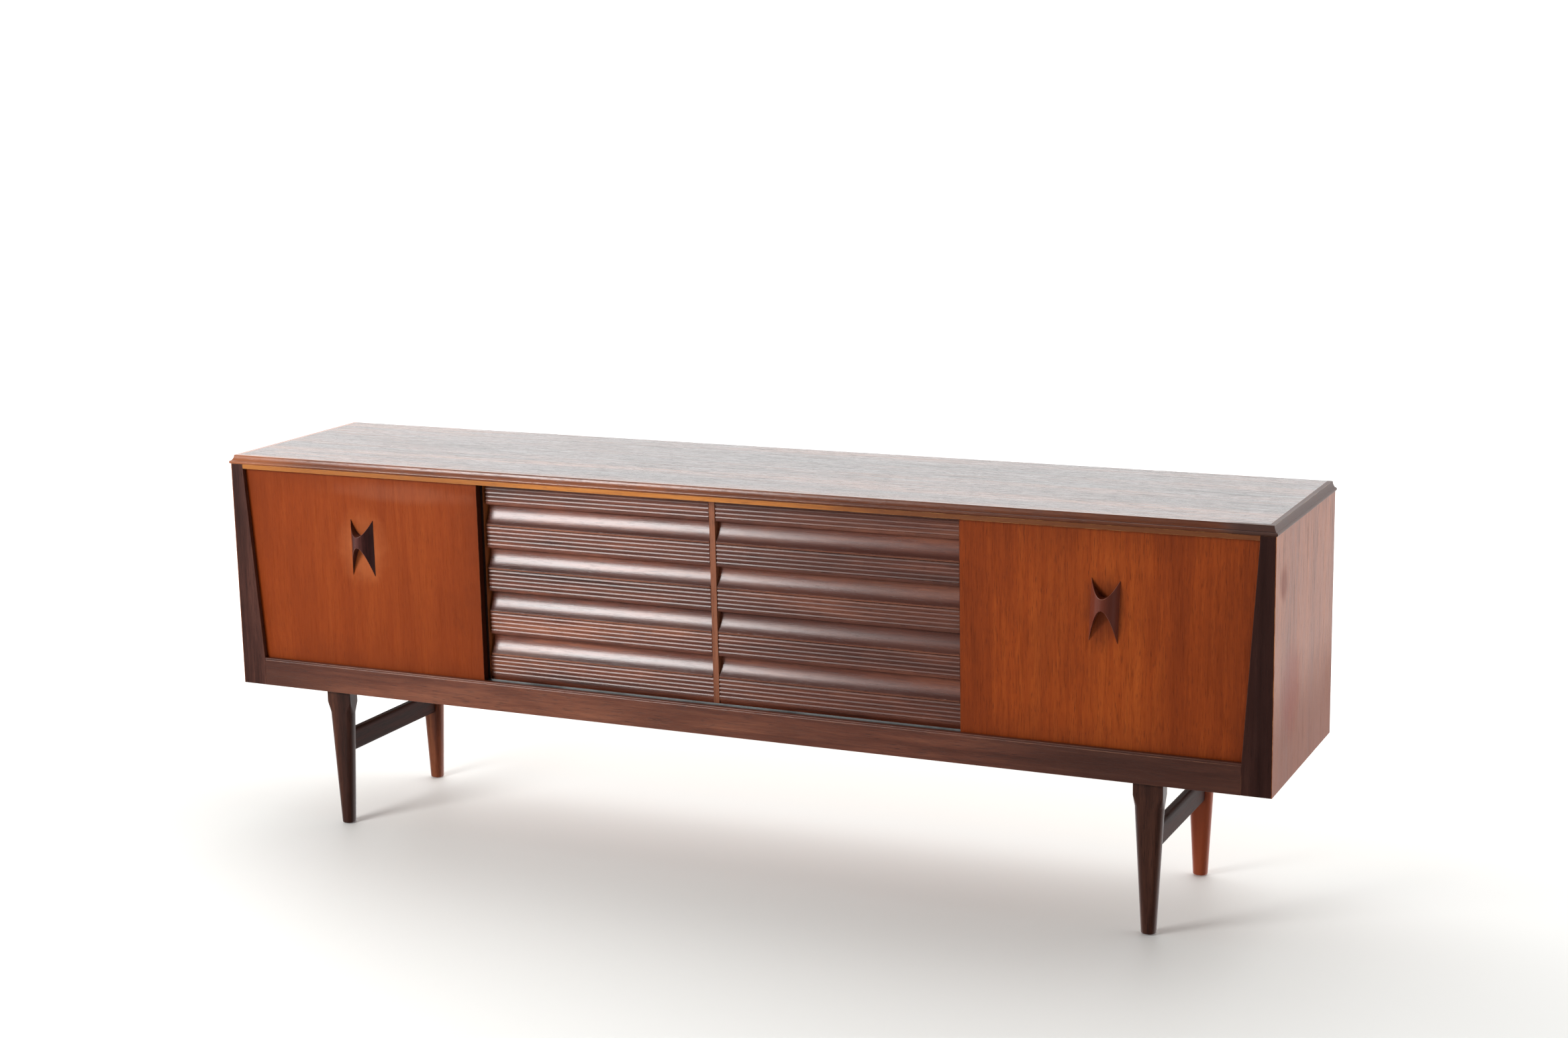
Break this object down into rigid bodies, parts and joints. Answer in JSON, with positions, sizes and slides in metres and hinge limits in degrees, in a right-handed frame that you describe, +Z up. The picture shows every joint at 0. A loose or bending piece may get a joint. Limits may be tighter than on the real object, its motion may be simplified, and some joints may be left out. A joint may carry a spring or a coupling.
{
  "type": "sideboard",
  "caption": "Long low mid-century sideboard with cove-and-reed drawer fronts between sliding end doors with butterfly pulls, on tapered legs joined by stretchers.",
  "frame": {"origin": "on the floor, under the middle of the whole object's box, handles included", "axes": "+X along the length towards the right-hand door seen from the front, +Y from the front to the back, +Z up"},
  "size_m": [2.1054, 0.4325, 0.742],
  "materials": {
    "top_veneer": "satin lacquered veneer",
    "moulding_wood": "satin lacquered solid wood",
    "side_veneer": "satin lacquered veneer",
    "dark_lipping": "satin dark stained solid wood",
    "rail_wood": "satin lacquered solid wood",
    "fascia_wood": "clear lacquered solid wood",
    "door_veneer": "semi-gloss lacquered veneer",
    "drawer_front_wood": "semi-gloss lacquered solid wood",
    "divider_wood": "satin lacquered edge",
    "inside_veneer": "satin veneer",
    "drawer_box_wood": "bare pale wood",
    "back_board": "bare plywood",
    "handle_wood": "satin oiled dark wood",
    "leg_wood": "satin stained solid wood",
    "track_metal": "dull drawn aluminium",
    "steel": "plain steel",
    "brass": "turned brass"
  },
  "bodies": {
    "case": {"top_panel": "top_veneer", "top_edge_moulding": "moulding_wood", "bottom_panel": "inside_veneer", "back_panel": "back_board", "back_panel_screws": "steel", "bottom_front_rail": "rail_wood", "top_front_rail": "fascia_wood", "upper_door_track": "track_metal", "lower_door_track": "track_metal", "centre_divider": "divider_wood", "shelf_pins": "brass", "leg_bolts": "steel", "left_side_panel": "side_veneer", "left_front_stile": "dark_lipping", "left_partition": "inside_veneer", "left_shelf": "inside_veneer", "left_drawer_runners": "drawer_box_wood", "left_apron": "drawer_front_wood", "left_leg_bearer": "drawer_box_wood", "left_front_leg": "leg_wood", "left_back_leg": "leg_wood", "left_stretcher": "leg_wood", "right_side_panel": "side_veneer", "right_front_stile": "dark_lipping", "right_partition": "inside_veneer", "right_shelf": "inside_veneer", "right_drawer_runners": "drawer_box_wood", "right_apron": "drawer_front_wood", "right_leg_bearer": "drawer_box_wood", "right_front_leg": "leg_wood", "right_back_leg": "leg_wood", "right_stretcher": "leg_wood"},
    "left_sliding_door": {"left_door": "door_veneer", "left_door_handle": "handle_wood"},
    "right_sliding_door": {"right_door": "door_veneer", "right_door_handle": "handle_wood"},
    "left_drawer_1": {"left_drawer_1_front": "drawer_front_wood", "left_drawer_1_box": "drawer_box_wood", "left_drawer_1_bottom": "drawer_box_wood"},
    "left_drawer_2": {"left_drawer_2_front": "drawer_front_wood", "left_drawer_2_box": "drawer_box_wood", "left_drawer_2_bottom": "drawer_box_wood"},
    "left_drawer_3": {"left_drawer_3_front": "drawer_front_wood", "left_drawer_3_box": "drawer_box_wood", "left_drawer_3_bottom": "drawer_box_wood"},
    "left_drawer_4": {"left_drawer_4_front": "drawer_front_wood", "left_drawer_4_box": "drawer_box_wood", "left_drawer_4_bottom": "drawer_box_wood"},
    "right_drawer_1": {"right_drawer_1_front": "drawer_front_wood", "right_drawer_1_box": "drawer_box_wood", "right_drawer_1_bottom": "drawer_box_wood"},
    "right_drawer_2": {"right_drawer_2_front": "drawer_front_wood", "right_drawer_2_box": "drawer_box_wood", "right_drawer_2_bottom": "drawer_box_wood"},
    "right_drawer_3": {"right_drawer_3_front": "drawer_front_wood", "right_drawer_3_box": "drawer_box_wood", "right_drawer_3_bottom": "drawer_box_wood"},
    "right_drawer_4": {"right_drawer_4_front": "drawer_front_wood", "right_drawer_4_box": "drawer_box_wood", "right_drawer_4_bottom": "drawer_box_wood"}
  },
  "joints": [
    {"name": "left_door_slide", "type": "slide", "parent": "case", "child": "left_sliding_door", "axis": [-1, 0, 0], "range_m": [-0.484, 0]},
    {"name": "right_door_slide", "type": "slide", "parent": "case", "child": "right_sliding_door", "axis": [1, 0, 0], "range_m": [-0.484, 0]},
    {"name": "left_drawer_1_slide", "type": "slide", "parent": "case", "child": "left_drawer_1", "axis": [0, -1, 0], "range_m": [0, 0.25]},
    {"name": "left_drawer_2_slide", "type": "slide", "parent": "case", "child": "left_drawer_2", "axis": [0, -1, 0], "range_m": [0, 0.25]},
    {"name": "left_drawer_3_slide", "type": "slide", "parent": "case", "child": "left_drawer_3", "axis": [0, -1, 0], "range_m": [0, 0.25]},
    {"name": "left_drawer_4_slide", "type": "slide", "parent": "case", "child": "left_drawer_4", "axis": [0, -1, 0], "range_m": [0, 0.25]},
    {"name": "right_drawer_1_slide", "type": "slide", "parent": "case", "child": "right_drawer_1", "axis": [0, -1, 0], "range_m": [0, 0.25]},
    {"name": "right_drawer_2_slide", "type": "slide", "parent": "case", "child": "right_drawer_2", "axis": [0, -1, 0], "range_m": [0, 0.25]},
    {"name": "right_drawer_3_slide", "type": "slide", "parent": "case", "child": "right_drawer_3", "axis": [0, -1, 0], "range_m": [0, 0.25]},
    {"name": "right_drawer_4_slide", "type": "slide", "parent": "case", "child": "right_drawer_4", "axis": [0, -1, 0], "range_m": [0, 0.25]}
  ]
}
